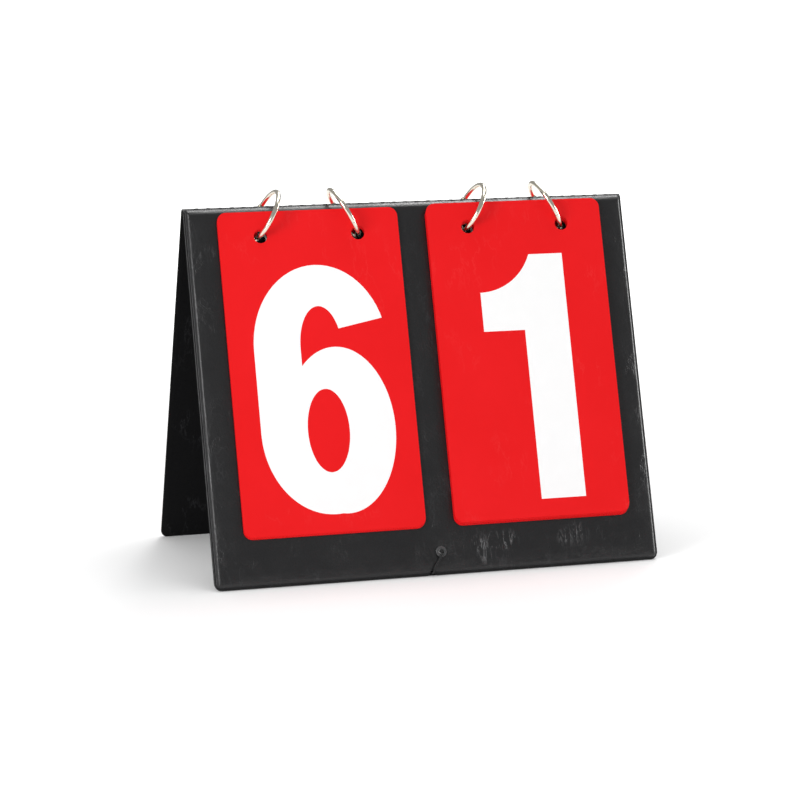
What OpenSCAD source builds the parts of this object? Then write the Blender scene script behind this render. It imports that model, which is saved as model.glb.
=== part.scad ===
// Tabletop flip scoreboard: a padded tent of two panels, with two piles of number cards on wire rings.
// X runs along the ridge, the front panel slopes down toward -Y, and Z = 0 is the table.

/* [Panels] */
// Length of both panels along the ridge
panel_w = 200; // [190:1:260]
// Height of a panel along its slope, from the hinge line to the edge that it stands on
panel_h = 164; // [160:1:200]
// Half of the angle between the standing panels, in degrees
half_open = 18.5; // [17:0.5:20]
// Thickness of each leatherette skin
skin_t = 0.5; // [0.3:0.05:0.6]
// Thickness of the board in a panel
board_t = 1.6; // [1:0.1:2]
// Thickness of the foam between the board and the outer skin
foam_t = 0.9; // [0.6:0.1:1.4]
// Radius of the soft rounding along a panel's outer edges
edge_r = 2.6; // [2:0.1:2.9]
// Width of the flat welded rim round a panel
rim = 1; // [0.6:0.1:2]
// Gap between the inner faces and the hinge plane, so that the panels close flat
inner_gap = 0.3; // [0.2:0.05:0.6]
// Space round the board and the foam inside the skins
lining_gap = 1.2; // [0.8:0.1:2]

/* [Ridge] */
// Radius of the welded fold strip
fold_r = 0.55; // [0.4:0.05:0.7]
// Radius of the raised marks on the strip
mark_r = 0.8; // [0.6:0.05:0.9]
// Distance from one raised mark to the next
mark_pitch = 5.2; // [3:0.1:8]
// Length of one raised mark
mark_len = 1.4; // [0.8:0.1:2]
// Clearance between the strip's marks and the rims beside it
fold_gap = 0.3; // [0.2:0.05:0.5]

/* [Cards] */
// Width of a card
card_w = 80.4; // [70:0.2:90]
// Height of a card
card_h = 140; // [120:1:150]
// Thickness of a card
card_t = 0.2; // [0.15:0.01:0.22]
// Distance from one card to the next in a pile
card_pitch = 0.24; // [0.23:0.01:0.28]
// Radius of a card's corners
card_r = 4; // [1:0.5:8]
// Middle of the left pile, from the middle of the ridge
left_x = -46; // [-52:0.5:-44]
// Middle of the right pile, from the middle of the ridge
right_x = 47.2; // [44:0.2:52]
// Radius of a card's ring holes
hole_r = 3; // [2.8:0.05:3.4]
// Distance from a card's top edge down to its holes
hole_drop = 10.8; // [8:0.1:14]
// Distance between a card's two holes
hole_span = 43.4; // [30:0.2:60]
// Gap between the panel and the first card
card_gap = 0.15; // [0.1:0.01:0.3]
// Further gap under the outermost card of a pile, which is the one that has just been turned
top_gap = 0.12; // [0.08:0.01:0.2]
// How much higher than the others the outermost card hangs on the rings
top_lift = 0.4; // [0.3:0.05:0.5]
// Depth of the printed numeral in the card's face
print_d = 0.04; // [0.02:0.01:0.06]

/* [Numerals] */
// Height of a numeral
digit_h = 108; // [96:1:116]
// Width of a round numeral
digit_w = 59.5; // [50:0.5:70]
// Width of an upright stroke
stroke = 20.5; // [14:0.5:22]
// Height of a level stroke
bar = 18; // [12:0.5:19]
// Distance from a card's bottom edge up to the numeral
digit_base = 7.8; // [4:0.2:14]
// How far the numerals stand to the right of the card's middle
digit_shift = 0.8; // [-2:0.1:2]

/* [Rings] */
// Radius of a ring, measured to the middle of its wire
ring_r = 11.9; // [11.7:0.05:12.2]
// Radius of the wire
wire_r = 1.05; // [0.9:0.05:1.1]
// How far the rings lean toward the middle of their pile, in degrees
ring_lean = 28.6; // [22:0.2:29]
// How far the centre of an upright ring lies below the hinge line
ring_drop = 2.72; // [2.5:0.02:3]
// Distance of a panel's ring holes below the hinge line, along its slope
panel_hole_h = 15; // [14.8:0.05:15.3]
// Radius of a panel's ring holes
panel_hole_r = 4.4; // [4.2:0.1:4.8]
// How far a ring stands outward of the card hole's middle
ring_shift = 1.26; // [1.1:0.02:1.5]
// How far the lowest card hole of a front pile lies below the hinge line
front_hole_h = 14.36; // [14.2:0.02:14.5]
// How much higher each further card of a front pile hangs
front_step = 0.11; // [0.05:0.01:0.16]
// How far the lowest card hole of a rear pile lies below the hinge line
rear_hole_h = 13.97; // [13.8:0.01:14.1]
// How much higher each further card of a rear pile hangs
rear_step = 0.11; // [0.05:0.01:0.16]
// Radius of the flat ends that the rivet joins
lug_r = 1.7; // [1.5:0.05:1.9]
// Radius of the rivet
rivet_r = 0.55; // [0.4:0.05:0.7]
// Clearance between the two halves of a ring
ring_gap = 0.06; // [0.04:0.01:0.1]
// Where the rivet sits, in degrees up from level behind the ridge
rivet_angle = 12; // [0:1:20]
// Length of the nose that holds a ring shut
nose_len = 0.8; // [0.5:0.1:1.2]

/* [Tether] */
// Radius of the cord
cord_r = 0.5; // [0.4:0.05:0.8]
// Distance of the eyelets above the panel's lower edge
eyelet_up = 10; // [8:0.5:14]
// Radius of an eyelet's flange
eyelet_r = 2.4; // [2:0.1:3]
// Radius of the hole through an eyelet
eyelet_bore_r = 1.2; // [1:0.05:1.4]
// Width of the notch that the cord runs through
notch_w = 2.4; // [2:0.1:3]
// Height of the notch
notch_h = 2.6; // [2:0.1:3]

/* [Hidden] */
$fn = 64;

vinyl = [0.075, 0.075, 0.08];
lining = [0.1, 0.1, 0.1];
greyboard = [0.5, 0.48, 0.45];
foam_white = [0.85, 0.84, 0.8];
card_red = [0.91, 0.1, 0.11];
wire_steel = [0.83, 0.8, 0.7];
cord_black = [0.05, 0.05, 0.05];

// Depths through a panel, outward from the hinge plane
board_in = inner_gap + skin_t;
foam_in = board_in + board_t;
skin_in = foam_in + foam_t;
panel_out = skin_in + skin_t;

// The lower edge is cut flat by this much, so that the panels stand on faces and not on lines
foot_cut = 0.3;
hinge_z = panel_h * cos(half_open) - inner_gap * sin(half_open) - foot_cut;

// The rims start beside the fold strip, and the padding starts a little further down
rim_top = mark_r + fold_gap;
pad_top = rim_top + 0.1;
// The line of the weld between the two skins of a panel
weld_gap = 0.02;

// The number of front cards in a pile equals the numbers from the shown one up to 9
left_shown = 6;
right_shown = 1;
first_card = panel_out + card_gap;

// The chord through a ring's two panel holes is the line that the ring leans about
hole_mid = (inner_gap + panel_out) / 2;
chord_z = hinge_z - panel_hole_h * cos(half_open) + hole_mid * sin(half_open);
ring_z = hinge_z - ring_drop;
hinge_turn = 90 + rivet_angle;
lug_t = 0.9;
lug_clear = 0.25;
// Turn along the ring that a full wire stays away from the rivet
lug_turn = (lug_r + lug_clear) / ring_r * 180 / PI;
end_turn = ring_gap / ring_r * 180 / PI;
// The neck between a lug and its wire, and how far it and the nose are rooted in the wire
neck_h = 1.2;
neck_bite = 0.5;
nose_root = 0.3;
nose_r = wire_r / 2;

// The eyelets, and the notch that the cord goes round the lower edge in
eyelet_wall = 0.4;
eyelet_h = 0.5;
knot_out = panel_out + eyelet_h;
knot_r = eyelet_bore_r - 0.05;
notch_x = -4;
eyelet_down = panel_h - eyelet_up;

// Every card is at this place in the order of its pile, counted from the panel
function front_place(number) = 9 - number;
function rear_place(number) = number;
// Distance of a card's top edge below the hinge line
function front_top(place) = front_hole_h - front_step * place - hole_drop;
function rear_top(place) = rear_hole_h - rear_step * place - hole_drop;

// A point given along the ridge, outward from the hinge plane and down the slope
function on_slope(p, side) = [
    p[0],
    side * (p[2] * sin(half_open) + p[1] * cos(half_open)),
    hinge_z - p[2] * cos(half_open) + p[1] * sin(half_open)
];

// The panels' own frame: X along the ridge, Y outward, Z up the slope, with zero on the hinge line
module on_rear() {
    translate([0, 0, hinge_z]) rotate([half_open, 0, 0]) children();
}

module on_front() {
    mirror([0, 1, 0]) on_rear() children();
}

module above_table() {
    difference() {
        children();
        translate([-panel_w, -panel_h, -panel_h]) cube([2 * panel_w, 2 * panel_h, panel_h]);
    }
}

// A plate whose outer edges and corners are rounded, hanging down from z = 0 and standing out from y = 0
module soft_plate(w, h, t, r) {
    flat = t - r;
    difference() {
        union() {
            translate([-w / 2 + r, 0, -h + r]) cube([w - 2 * r, t, h - 2 * r]);
            translate([-w / 2, 0, -h + r]) cube([w, flat, h - 2 * r]);
            translate([-w / 2 + r, 0, -h]) cube([w - 2 * r, flat, h]);
            for (z = [-r, -h + r]) {
                translate([-w / 2 + r, flat, z]) rotate([0, 90, 0]) cylinder(r = r, h = w - 2 * r);
                for (x = [-w / 2 + r, w / 2 - r]) {
                    translate([x, flat, z]) rotate([90, 0, 0]) cylinder(r = r, h = flat);
                    translate([x, flat, z]) sphere(r = r);
                }
            }
            for (x = [-w / 2 + r, w / 2 - r]) {
                translate([x, flat, -h + r]) cylinder(r = r, h = h - 2 * r);
            }
        }
        translate([-w, -2 * r, -h - r]) cube([2 * w, 2 * r, h + 2 * r]);
    }
}

// A thin plate with round lower corners that keeps the panel's outline
module rim_plate(y, t) {
    h = panel_h - rim_top;
    r = edge_r + rim;
    translate([-panel_w / 2, y, -panel_h + r]) cube([panel_w, t, h - r]);
    translate([-panel_w / 2 + r, y, -panel_h]) cube([panel_w - 2 * r, t, r]);
    for (x = [-panel_w / 2 + r, panel_w / 2 - r]) {
        translate([x, y + t, -panel_h + r]) rotate([90, 0, 0]) cylinder(r = r, h = t);
    }
}

// Where the rings stand, from the outer ring of the left pile to the outer ring of the right one
function ring_x(k) = (k < 2 ? left_x : right_x) + ring_side(k) * (hole_span / 2 + ring_shift);
// Which way a ring stands from the middle of its pile; it leans the other way
function ring_side(k) = k % 2 == 0 ? -1 : 1;

module panel_holes() {
    for (k = [0:3]) {
        translate([ring_x(k), panel_out + 1, -panel_hole_h]) {
            rotate([90, 0, 0]) cylinder(r = panel_hole_r, h = panel_out + 2);
        }
    }
    translate([0, panel_out + 1, -panel_h + eyelet_up]) {
        rotate([90, 0, 0]) cylinder(r = eyelet_bore_r + eyelet_wall, h = panel_out + 2);
    }
}

module cord_notch() {
    translate([notch_x - notch_w / 2, -1, -panel_h - 1]) cube([notch_w, panel_out + 2, notch_h + 1]);
}

// One layer with its ring holes, its eyelet hole and its notch
module panel_layer() {
    difference() {
        children();
        panel_holes();
        cord_notch();
    }
}

module outer_skin() {
    pad_w = panel_w - 2 * rim;
    pad_h = panel_h - rim - pad_top;
    panel_layer() difference() {
        union() {
            translate([0, board_in + weld_gap, -pad_top]) {
                soft_plate(pad_w, pad_h, panel_out - board_in - weld_gap, edge_r);
            }
            rim_plate(board_in + weld_gap, skin_t);
        }
        translate([0, board_in - 0.01, -pad_top - skin_t]) {
            soft_plate(
                pad_w - 2 * skin_t, pad_h - 2 * skin_t, skin_in - board_in + 0.01, edge_r - skin_t
            );
        }
    }
}

module inner_skin() {
    panel_layer() rim_plate(inner_gap, skin_t);
}

// Size and top of the lining pieces, which lie inside the skins with a space all round
lining_w = panel_w - 2 * (rim + skin_t + lining_gap);
lining_top = pad_top + skin_t + lining_gap;
lining_h = panel_h - rim - skin_t - lining_gap - lining_top;
foam_edge = 0.6;

module board() {
    panel_layer() {
        translate([-lining_w / 2, board_in, -lining_top - lining_h]) cube([lining_w, board_t, lining_h]);
    }
}

module foam() {
    panel_layer() translate([0, foam_in, -lining_top]) {
        soft_plate(lining_w, lining_h, foam_t - weld_gap, foam_edge);
    }
}

// The welded strip on the ridge, with its row of marks
module ridge_fold() {
    marks = floor((panel_w - 6) / mark_pitch / 2);
    translate([-panel_w / 2, 0, hinge_z]) rotate([0, 90, 0]) cylinder(r = fold_r, h = panel_w);
    for (i = [-marks:marks]) {
        translate([i * mark_pitch - mark_len / 2, 0, hinge_z]) {
            rotate([0, 90, 0]) cylinder(r = mark_r, h = mark_len);
        }
    }
}

// Numerals are drawn from their lower left corner
module oval(w, h) {
    translate([w / 2, h / 2]) scale([w / 2, h / 2]) circle(r = 1);
}

// An oval whose sides run straight between its two round ends
module tall_oval(w, h, end_h) {
    hull() {
        oval(w, end_h);
        translate([0, h - end_h]) oval(w, end_h);
    }
}

// The outline of a round numeral of any height, with the hole inside its strokes
module hoop(w, h, end_h, level) {
    difference() {
        tall_oval(w, h, end_h);
        translate([stroke, level]) {
            tall_oval(w - 2 * stroke, h - 2 * level, end_h - 2 * level);
        }
    }
}

bowl_h = digit_h * 2 / 3;
five_bowl_h = digit_h * 0.64;
low_loop_h = digit_h * 0.58;
high_loop_h = digit_h * 0.55;
loop_bar = bar * 0.84;

// The open end of a six slants from low inside the stroke to higher at its outer side
module six() {
    mid = bowl_h / 2;
    narrow = digit_w * 0.81;
    inner_end = digit_h * 0.725;
    outer_end = digit_h * 0.78;
    difference() {
        union() {
            intersection() {
                oval(digit_w, bowl_h);
                square([digit_w, mid]);
            }
            translate([digit_w - narrow, 0]) oval(narrow, bowl_h);
            difference() {
                tall_oval(digit_w, digit_h, bowl_h);
                translate([stroke, bowl_h / 2]) {
                    tall_oval(digit_w - 2 * stroke, digit_h - bar - bowl_h / 2, bowl_h - 2 * bar);
                }
                polygon([
                    [digit_w / 2, mid], [digit_w + 1, mid], [digit_w + 1, outer_end],
                    [digit_w / 2, inner_end]
                ]);
            }
        }
        translate([stroke, bar]) oval(digit_w - 2 * stroke, bowl_h - 2 * bar);
    }
}

module eight() {
    narrow = digit_w * 0.93;
    hoop(digit_w, low_loop_h, low_loop_h, loop_bar);
    translate([(digit_w - narrow) / 2, digit_h - high_loop_h]) {
        hoop(narrow, high_loop_h, high_loop_h, loop_bar);
    }
}

// The flag of the one is cut hollow by a circle over its outer end
module one() {
    stem_x = stroke * 0.92;
    flag_y = digit_h * 0.69;
    hollow_r = digit_h * 0.237;
    hollow_y = digit_h * 1.087;
    difference() {
        union() {
            translate([stem_x, 0]) square([stroke, digit_h]);
            translate([0, flag_y]) square([stem_x + 1, digit_h - flag_y]);
        }
        translate([0, hollow_y]) circle(r = hollow_r);
    }
}

module two() {
    top_h = digit_w;
    mid_y = digit_h - top_h / 2;
    difference() {
        translate([0, digit_h - top_h]) hoop(digit_w, top_h, top_h, bar);
        translate([-1, 0]) square([digit_w + 2, mid_y]);
    }
    polygon([
        [digit_w - stroke, mid_y + 0.1], [digit_w, mid_y + 0.1], [digit_w - 1.5, mid_y - 9],
        [stroke + 8, bar], [digit_w, bar], [digit_w, 0], [0, 0], [0, bar - 3],
        [digit_w - stroke - 2, mid_y - 9]
    ]);
}

module three() {
    difference() {
        eight();
        translate([-1, digit_h * 0.27]) square([stroke + 4, digit_h * 0.46]);
    }
}

module four() {
    stem_x = digit_w * 0.55;
    foot_y = digit_h * 0.2;
    difference() {
        polygon([
            [0, foot_y], [0, foot_y + bar], [stem_x - 3, digit_h], [stem_x + stroke, digit_h],
            [stem_x + stroke, foot_y + bar], [digit_w, foot_y + bar], [digit_w, foot_y],
            [stem_x + stroke, foot_y], [stem_x + stroke, 0], [stem_x, 0], [stem_x, foot_y]
        ]);
        polygon([
            [stem_x / 2, foot_y + bar], [stem_x, foot_y + bar], [stem_x, digit_h * 0.72]
        ]);
    }
}

module five() {
    difference() {
        hoop(digit_w, five_bowl_h, five_bowl_h, loop_bar);
        translate([-1, digit_h * 0.26]) square([stroke + 4, digit_h * 0.22]);
    }
    translate([3, digit_h * 0.45]) square([stroke - 3, digit_h * 0.55]);
    translate([3, digit_h - bar]) square([digit_w - 8, bar]);
}

module seven() {
    polygon([
        [0, digit_h], [digit_w, digit_h], [digit_w, digit_h - bar],
        [stroke + 11, 0], [10, 0], [digit_w - stroke - 2, digit_h - bar], [0, digit_h - bar]
    ]);
}

// A numeral centred on x = 0
module numeral(number) {
    translate([number == 1 ? -stroke * 0.96 : -digit_w / 2, 0]) {
        if (number == 0) hoop(digit_w, digit_h, bowl_h, bar);
        if (number == 1) one();
        if (number == 2) two();
        if (number == 3) three();
        if (number == 4) four();
        if (number == 5) five();
        if (number == 6) six();
        if (number == 7) seven();
        if (number == 8) eight();
        if (number == 9) translate([digit_w, digit_h]) rotate(180) six();
    }
}

module card_outline() {
    x = card_w / 2 - card_r;
    for (sx = [-x, x]) for (z = [card_r, card_h - card_r]) translate([sx, z]) circle(r = card_r);
    translate([-x, 0]) square([2 * x, card_h]);
    translate([-card_w / 2, card_r]) square([card_w, card_h - 2 * card_r]);
}

// A card that stands on y = 0 with its lower edge at z = 0. The near side shows its number
// and the far side shows the next one, which is what the pile's other side counts at that moment.
module card_blank(number) {
    difference() {
        rotate([90, 0, 0]) mirror([0, 0, 1]) linear_extrude(card_t) difference() {
            card_outline();
            for (side = [-1, 1]) {
                translate([side * hole_span / 2, card_h - hole_drop]) circle(r = hole_r);
            }
        }
        translate([digit_shift, print_d, digit_base]) {
            rotate([90, 0, 0]) linear_extrude(print_d + 0.02) numeral(number);
        }
        translate([-digit_shift, card_t + 0.02, digit_base]) mirror([1, 0, 0]) {
            rotate([90, 0, 0]) linear_extrude(print_d + 0.02) numeral((number + 1) % 10);
        }
    }
}

// One for the outermost card of the front or the rear pile, and zero for the cards below it
function top_of_pile(number, shown) = number == shown || number == shown - 1 ? 1 : 0;

// Front cards face outward with their number, and the flipped ones on the rear with their far side
module card(pile_x, shown, number) {
    top = top_of_pile(number, shown);
    place = number >= shown ? front_place(number) : rear_place(number);
    y = first_card + card_pitch * place + top_gap * top;
    edge = (number >= shown ? front_top(place) : rear_top(place)) - top_lift * top;
    color(card_red) {
        if (number >= shown) {
            on_front() translate([pile_x, y + card_t, -edge - card_h]) {
                mirror([0, 1, 0]) card_blank(number);
            }
        } else {
            on_rear() translate([pile_x, y, -edge - card_h]) card_blank(number);
        }
    }
}

// Puts a ring, drawn round its centre in the plane x = 0, in its leaning place
module ring_place(k) {
    translate([ring_x(k), 0, chord_z]) rotate([0, -ring_side(k) * ring_lean, 0]) {
        translate([0, 0, ring_z - chord_z]) children();
    }
}

// A stretch of the ring's wire, by its turn from the lowest point up toward the rear
module wire_arc(from, to) {
    rotate([0, 90, 0]) rotate([0, 0, from]) rotate_extrude(angle = to - from) {
        translate([ring_r, 0]) circle(r = wire_r);
    }
}

module at_turn(turn) {
    translate([0, ring_r * sin(turn), -ring_r * cos(turn)]) children();
}

// The flat end on one side of the ring's plane, with a neck that runs to its wire in the given direction
module lug(side, direction) {
    low = side > 0 ? ring_gap / 2 : -lug_t - ring_gap / 2;
    neck = lug_r + lug_clear + neck_bite;
    at_turn(hinge_turn) translate([low, 0, 0]) {
        rotate([0, 90, 0]) cylinder(r = lug_r, h = lug_t);
        rotate([hinge_turn, 0, 0]) {
            translate([0, direction > 0 ? 0 : -neck, -neck_h / 2]) cube([lug_t, neck, neck_h]);
        }
    }
}

module rivet_hole() {
    at_turn(hinge_turn) translate([-2, 0, 0]) {
        rotate([0, 90, 0]) cylinder(r = rivet_r + ring_gap / 2, h = 4);
    }
}

// A pin that runs out of the fixed half's end into the gate
module nose(r, len) {
    at_turn(hinge_turn + 180) rotate([hinge_turn + 180, 0, 0]) translate([0, nose_root, 0]) {
        rotate([90, 0, 0]) cylinder(r = r, h = len + nose_root);
    }
}

module ring_half(k) {
    color(wire_steel) ring_place(k) difference() {
        union() {
            wire_arc(hinge_turn + 180 + end_turn, hinge_turn + 360 - lug_turn);
            lug(-1, -1);
            nose(nose_r, nose_len);
        }
        rivet_hole();
    }
}

module ring_gate(k) {
    color(wire_steel) ring_place(k) difference() {
        union() {
            wire_arc(hinge_turn + lug_turn, hinge_turn + 180 - end_turn);
            lug(1, 1);
        }
        rivet_hole();
        nose(nose_r + ring_gap, nose_len + ring_gap);
    }
}

module ring_rivet(k) {
    head_x = lug_t + ring_gap / 2;
    color(wire_steel) ring_place(k) at_turn(hinge_turn) rotate([0, 90, 0]) {
        translate([0, 0, -head_x - 0.35]) cylinder(r = rivet_r, h = 2 * head_x + 0.7);
        translate([0, 0, head_x + 0.02]) cylinder(r = 2 * rivet_r, h = 0.35);
        translate([0, 0, -head_x - 0.37]) cylinder(r = 2 * rivet_r, h = 0.35);
    }
}

module eyelet() {
    translate([0, 0, -eyelet_down]) rotate([-90, 0, 0]) difference() {
        union() {
            translate([0, 0, inner_gap]) {
                cylinder(r = eyelet_bore_r + eyelet_wall, h = panel_out - inner_gap);
            }
            translate([0, 0, panel_out]) cylinder(r = eyelet_r - eyelet_h / 2, h = eyelet_h);
            translate([0, 0, panel_out + eyelet_h / 2]) rotate_extrude() {
                translate([eyelet_r - eyelet_h / 2, 0]) circle(r = eyelet_h / 2);
            }
        }
        cylinder(r = eyelet_bore_r, h = panel_out + 2);
    }
}

module knot() {
    translate([0, knot_out, -eyelet_down]) sphere(r = knot_r);
}

// The cord's way over the outside, as shares of its way to the notch, heights above the panel's
// face, and shares of its drop from the eyelet to the notch
cord_drop = eyelet_up - 2.5;
over_route = [
    [0, 1.3, 0.12], [0.07, 1.3, 0.2], [0.2, 1.3, 0.35], [0.5, 1, 0.59], [0.78, 0.8, 0.8], [0.95, 0.6, 1]
];
// Its way through the notch, as depths below the face and heights above the lower edge
notch_route = [[0.2, 1.5], [1.4, 1.1], [2.8, 1.2], [4.4, 1.7]];
function over_point(p, side) = on_slope(
    [notch_x * p[0], panel_out + p[1], eyelet_down + cord_drop * p[2]], side
);
function notch_point(p, side) = on_slope([notch_x, panel_out - p[0], panel_h - p[1]], side);

// Between the panels it lies just above the table, highest near its ends
span_half = panel_h * sin(half_open) - 6;
span_ends = 7.5;
// The rear end stops a little short of its knot, which belongs to the other panel
cord_route = concat(
    [for (p = over_route) over_point(p, -1)],
    [for (p = notch_route) notch_point(p, -1)],
    [for (i = [-span_ends:span_ends]) [notch_x, i / span_ends * span_half, 1.2 + 0.3 * abs(i) / span_ends]],
    [for (i = [len(notch_route) - 1:-1:0]) notch_point(notch_route[i], 1)],
    [for (i = [len(over_route) - 1:-1:1]) over_point(over_route[i], 1)]
);

function unit(v) = v / norm(v);
function way_at(i) = unit(
    cord_route[min(i + 1, len(cord_route) - 1)] - cord_route[max(i - 1, 0)]
);
cord_sides = 8;

// A round tube along the cord's route
module tether_cord() {
    last = len(cord_route) - 1;
    points = [for (i = [0:last]) let (t = way_at(i), u = unit(cross(t, [1, 0, 0])), v = cross(t, u))
        for (k = [0:cord_sides - 1]) let (a = 360 * k / cord_sides)
            cord_route[i] + cord_r * (cos(a) * u + sin(a) * v)];
    walls = [for (i = [0:last - 1]) for (k = [0:cord_sides - 1])
        let (n = (k + 1) % cord_sides, p = i * cord_sides, q = p + cord_sides)
            each [[p + k, q + k, q + n], [p + k, q + n, p + n]]];
    start = [[for (k = [0:cord_sides - 1]) k]];
    end = [[for (k = [cord_sides - 1:-1:0]) last * cord_sides + k]];
    polyhedron(points = points, faces = concat(walls, start, end));
}

color(vinyl) above_table() on_front() outer_skin();  // front_outer_skin
color(lining) above_table() on_front() inner_skin();  // front_inner_skin
color(greyboard) on_front() board();  // front_board
color(foam_white) on_front() foam();  // front_foam
color(vinyl) above_table() on_rear() outer_skin();  // rear_outer_skin
color(lining) above_table() on_rear() inner_skin();  // rear_inner_skin
color(greyboard) on_rear() board();  // rear_board
color(foam_white) on_rear() foam();  // rear_foam
color(vinyl) ridge_fold();
color(cord_black) tether_cord();
color(vinyl) on_front() eyelet();  // front_eyelet
color(cord_black) on_front() knot();  // front_knot
color(vinyl) on_rear() eyelet();  // rear_eyelet
color(cord_black) on_rear() knot();  // rear_knot
card(left_x, left_shown, 0);  // left_card_0
card(left_x, left_shown, 1);  // left_card_1
card(left_x, left_shown, 2);  // left_card_2
card(left_x, left_shown, 3);  // left_card_3
card(left_x, left_shown, 4);  // left_card_4
card(left_x, left_shown, 5);  // left_card_5
card(left_x, left_shown, 6);  // left_card_6
card(left_x, left_shown, 7);  // left_card_7
card(left_x, left_shown, 8);  // left_card_8
card(left_x, left_shown, 9);  // left_card_9
card(right_x, right_shown, 0);  // right_card_0
card(right_x, right_shown, 1);  // right_card_1
card(right_x, right_shown, 2);  // right_card_2
card(right_x, right_shown, 3);  // right_card_3
card(right_x, right_shown, 4);  // right_card_4
card(right_x, right_shown, 5);  // right_card_5
card(right_x, right_shown, 6);  // right_card_6
card(right_x, right_shown, 7);  // right_card_7
card(right_x, right_shown, 8);  // right_card_8
card(right_x, right_shown, 9);  // right_card_9
ring_half(0);  // left_outer_ring_half
ring_gate(0);  // left_outer_ring_gate
ring_rivet(0);  // left_outer_ring_rivet
ring_half(1);  // left_inner_ring_half
ring_gate(1);  // left_inner_ring_gate
ring_rivet(1);  // left_inner_ring_rivet
ring_half(2);  // right_inner_ring_half
ring_gate(2);  // right_inner_ring_gate
ring_rivet(2);  // right_inner_ring_rivet
ring_half(3);  // right_outer_ring_half
ring_gate(3);  // right_outer_ring_gate
ring_rivet(3);  // right_outer_ring_rivet
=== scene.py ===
"""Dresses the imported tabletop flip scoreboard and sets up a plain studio.

The padded panels, the welded ridge, the tether with its knots and the printed numerals are made here.
The cards, the wire rings, the eyelets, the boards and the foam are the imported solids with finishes.
Sizes are in millimetres on the classes, and the finished meshes are in metres.
"""

import logging
import math
from dataclasses import dataclass, field
from enum import Enum
from typing import Callable, Optional, Sequence

import bmesh
import bpy
from mathutils import Matrix, Quaternion, Vector, noise


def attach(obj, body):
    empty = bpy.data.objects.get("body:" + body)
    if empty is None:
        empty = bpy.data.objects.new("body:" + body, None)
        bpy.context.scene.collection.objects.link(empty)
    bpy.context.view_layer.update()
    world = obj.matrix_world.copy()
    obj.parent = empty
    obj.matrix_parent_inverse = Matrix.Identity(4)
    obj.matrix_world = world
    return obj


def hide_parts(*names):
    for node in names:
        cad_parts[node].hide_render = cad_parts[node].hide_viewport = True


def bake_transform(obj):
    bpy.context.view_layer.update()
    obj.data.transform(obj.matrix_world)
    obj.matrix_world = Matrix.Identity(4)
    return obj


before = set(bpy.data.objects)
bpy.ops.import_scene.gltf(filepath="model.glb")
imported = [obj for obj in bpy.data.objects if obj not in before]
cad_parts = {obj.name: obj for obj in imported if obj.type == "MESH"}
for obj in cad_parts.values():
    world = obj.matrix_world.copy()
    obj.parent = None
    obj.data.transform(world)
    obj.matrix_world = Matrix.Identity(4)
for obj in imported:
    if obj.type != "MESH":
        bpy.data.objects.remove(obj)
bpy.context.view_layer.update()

log = logging.getLogger("scoreboard")
MM = 0.001

Point = tuple[float, float, float]


class Side(Enum):
    """The two panels of the tent."""

    FRONT = "front"
    REAR = "rear"


class Slot(Enum):
    """The record's material slots."""

    LEATHERETTE = "leatherette"
    LINING = "lining"
    BOARD = "greyboard"
    FOAM = "foam"
    CARD = "card_red"
    WIRE = "ring_wire"
    CORD = "cord"
    EYELET = "eyelet"


def smooth_step(value: float, low: float, high: float) -> float:
    """Eases from 0 at low to 1 at high.

    Args:
        value: Where to look.
        low: The place where the ramp starts.
        high: The place where the ramp ends.

    Returns:
        A share from 0 to 1.
    """
    share = min(max((value - low) / (high - low), 0.0), 1.0)
    return share * share * (3 - 2 * share)


def bell(distance: float, width: float) -> float:
    """Gives 1 at no distance and falls off softly over a width."""
    return math.exp(-((distance / width) ** 2))


def stations(stops: Sequence[tuple[float, float]]) -> list[float]:
    """Spaces places along a line.

    Args:
        stops: The start and each later stop, with the spacing that leads up to it.

    Returns:
        The places in order, both ends included.
    """
    places = [stops[0][0]]
    for (low, _), (high, spacing) in zip(stops, stops[1:]):
        count = max(1, round((high - low) / spacing))
        places += [low + (high - low) * i / count for i in range(1, count + 1)]
    return places


def finished_object(name: str, mesh: bpy.types.Mesh, smooth: bool = True) -> bpy.types.Object:
    """Puts a mesh in the scene as an object at the origin.

    Args:
        name: The piece's name.
        mesh: Its mesh, already in its place.
        smooth: Whether its faces are shaded smooth.

    Returns:
        The new object.
    """
    mesh.polygons.foreach_set("use_smooth", [smooth] * len(mesh.polygons))
    piece = bpy.data.objects.new(name, mesh)
    bpy.context.scene.collection.objects.link(piece)
    return piece


def mesh_from(bm: bmesh.types.BMesh, name: str) -> bpy.types.Mesh:
    """Writes a bmesh to a new mesh and frees it."""
    mesh = bpy.data.meshes.new(name)
    bm.to_mesh(mesh)
    bm.free()
    return mesh


def settle_modifiers(piece: bpy.types.Object) -> None:
    """Applies a piece's modifiers to its mesh."""
    shape = piece.evaluated_get(bpy.context.evaluated_depsgraph_get())
    mesh = bpy.data.meshes.new_from_object(shape)
    piece.modifiers.clear()
    piece.data = mesh


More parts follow.
